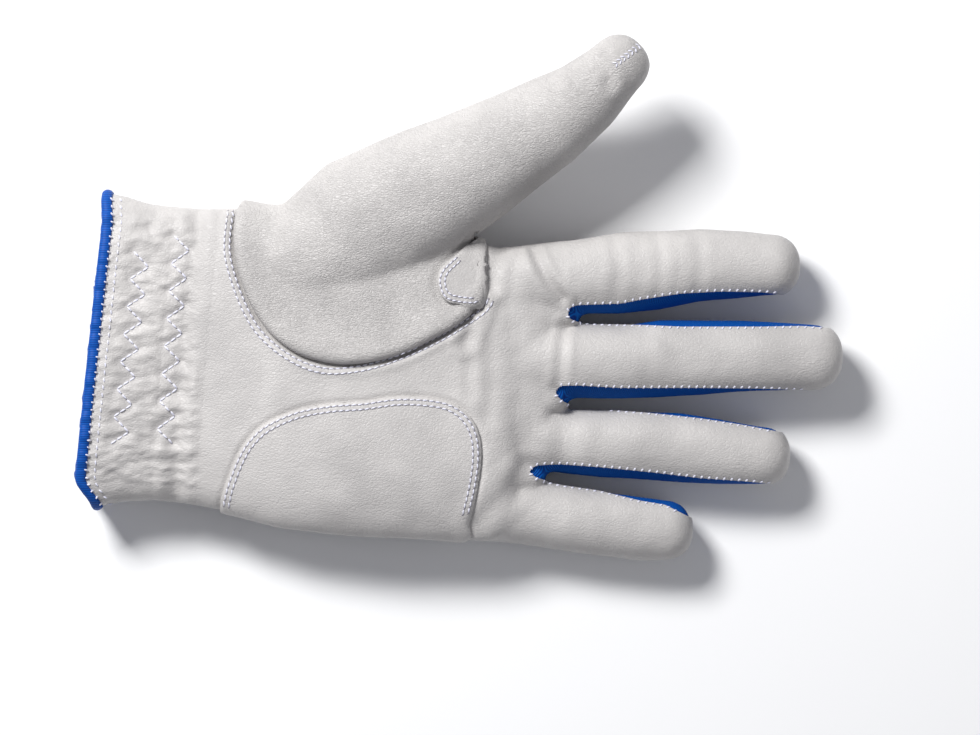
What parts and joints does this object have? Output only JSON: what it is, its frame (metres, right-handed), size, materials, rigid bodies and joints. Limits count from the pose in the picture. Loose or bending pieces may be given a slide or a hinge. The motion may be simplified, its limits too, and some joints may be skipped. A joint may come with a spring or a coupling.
{
  "type": "golf glove",
  "caption": "Left-hand leather golf glove with stretch gussets between the fingers, elastic wrist and back closure tab",
  "frame": {"origin": "middle of the glove's outline, on the surface its back lies on", "axes": "+X to the fingertips, +Y to the thumb side, +Z out of the palm"},
  "size_m": [0.215, 0.147, 0.0384],
  "materials": {
    "leather": "soft full-grain, warm white",
    "blue_knit": "stretch knit, royal blue",
    "blue_binding": "folded cuff binding, royal blue",
    "elastic": "woven elastic tape, white",
    "hook_loop": "hook and loop tape, white",
    "label": "blank woven label"
  },
  "bodies": {
    "root": {"crotch_gusset_index_middle": "blue_knit", "crotch_gusset_middle_ring": "blue_knit", "crotch_gusset_ring_little": "blue_knit", "thumb_panel": "leather", "palm_panel": "leather", "back_panel": "leather", "slit_binding": "blue_binding", "heel_patch": "leather", "thumb_quirk": "leather", "cuff_binding": "blue_binding", "wrist_elastic_cuff_side": "elastic", "wrist_elastic_palm_side": "elastic", "loop_patch": "hook_loop", "tab_anchor": "leather", "size_label": "label"},
    "index_base": {"index_base_leather": "leather", "index_base_gusset": "blue_knit", "index_root_crease": "leather", "index_mid_crease": "leather"},
    "index_tip": {"index_tip_leather": "leather", "index_tip_gusset": "blue_knit"},
    "middle_base": {"middle_base_front": "leather", "middle_base_back": "leather", "middle_base_gussets": "blue_knit", "middle_root_crease": "leather", "middle_mid_crease": "leather"},
    "middle_tip": {"middle_tip_front": "leather", "middle_tip_back": "leather", "middle_tip_gussets": "blue_knit"},
    "ring_base": {"ring_base_front": "leather", "ring_base_back": "leather", "ring_base_gussets": "blue_knit", "ring_root_crease": "leather", "ring_mid_crease": "leather"},
    "ring_tip": {"ring_tip_front": "leather", "ring_tip_back": "leather", "ring_tip_gussets": "blue_knit"},
    "little_base": {"little_base_leather": "leather", "little_base_gusset": "blue_knit", "little_root_crease": "leather", "little_mid_crease": "leather"},
    "little_tip": {"little_tip_leather": "leather", "little_tip_gusset": "blue_knit"},
    "thumb_lower": {"thumb_lower_front": "leather", "thumb_lower_back": "leather", "thumb_root_crease": "leather", "thumb_mid_crease": "leather"},
    "thumb_tip": {"thumb_tip_front": "leather", "thumb_tip_back": "leather"},
    "closure_tab": {"closure_tab": "leather", "hook_patch": "hook_loop"}
  },
  "joints": [
    {"name": "index_root_bend", "type": "hinge", "parent": "root", "child": "index_base", "pos_m": [0.03139, 0.00572, 0.0113], "axis": [0.0523, -0.9986, 0], "range_deg": [0, 80], "deforming": ["index_root_crease"]},
    {"name": "index_mid_bend", "type": "hinge", "parent": "index_base", "child": "index_tip", "pos_m": [0.06235, 0.00734, 0.0113], "axis": [0.0523, -0.9986, 0], "range_deg": [0, 85], "deforming": ["index_mid_crease"]},
    {"name": "middle_root_bend", "type": "hinge", "parent": "root", "child": "middle_base", "pos_m": [0.03139, -0.01758, 0.0112], "axis": [0.0175, -0.9998, 0], "range_deg": [0, 80], "deforming": ["middle_root_crease"]},
    {"name": "middle_mid_bend", "type": "hinge", "parent": "middle_base", "child": "middle_tip", "pos_m": [0.06739, -0.01695, 0.0112], "axis": [0.0175, -0.9998, 0], "range_deg": [0, 85], "deforming": ["middle_mid_crease"]},
    {"name": "ring_root_bend", "type": "hinge", "parent": "root", "child": "ring_base", "pos_m": [0.02789, -0.03918, 0.0099], "axis": [-0.0958, -0.9954, 0], "range_deg": [0, 80], "deforming": ["ring_root_crease"]},
    {"name": "ring_mid_bend", "type": "hinge", "parent": "ring_base", "child": "ring_tip", "pos_m": [0.05875, -0.04215, 0.0099], "axis": [-0.0958, -0.9954, 0], "range_deg": [0, 85], "deforming": ["ring_mid_crease"]},
    {"name": "little_root_bend", "type": "hinge", "parent": "root", "child": "little_base", "pos_m": [0.02239, -0.05978, 0.0096], "axis": [-0.1547, -0.988, 0], "range_deg": [0, 80], "deforming": ["little_root_crease"]},
    {"name": "little_mid_bend", "type": "hinge", "parent": "little_base", "child": "little_tip", "pos_m": [0.04314, -0.06303, 0.0096], "axis": [-0.1547, -0.988, 0], "range_deg": [0, 75], "deforming": ["little_mid_crease"]},
    {"name": "thumb_root_bend", "type": "hinge", "parent": "root", "child": "thumb_lower", "pos_m": [-0.00361, 0.03362, 0.0183], "axis": [0.5364, -0.844, 0], "range_deg": [0, 50], "deforming": ["thumb_root_crease"]},
    {"name": "thumb_mid_bend", "type": "hinge", "parent": "thumb_lower", "child": "thumb_tip", "pos_m": [0.02739, 0.05062, 0.0245], "axis": [0.5457, -0.838, 0], "range_deg": [0, 65], "deforming": ["thumb_mid_crease"]},
    {"name": "closure_tab_hinge", "type": "hinge", "parent": "root", "child": "closure_tab", "pos_m": [-0.07561, 0.00912, 0.0015], "axis": [1, 0, 0], "range_deg": [0, 120]}
  ]
}
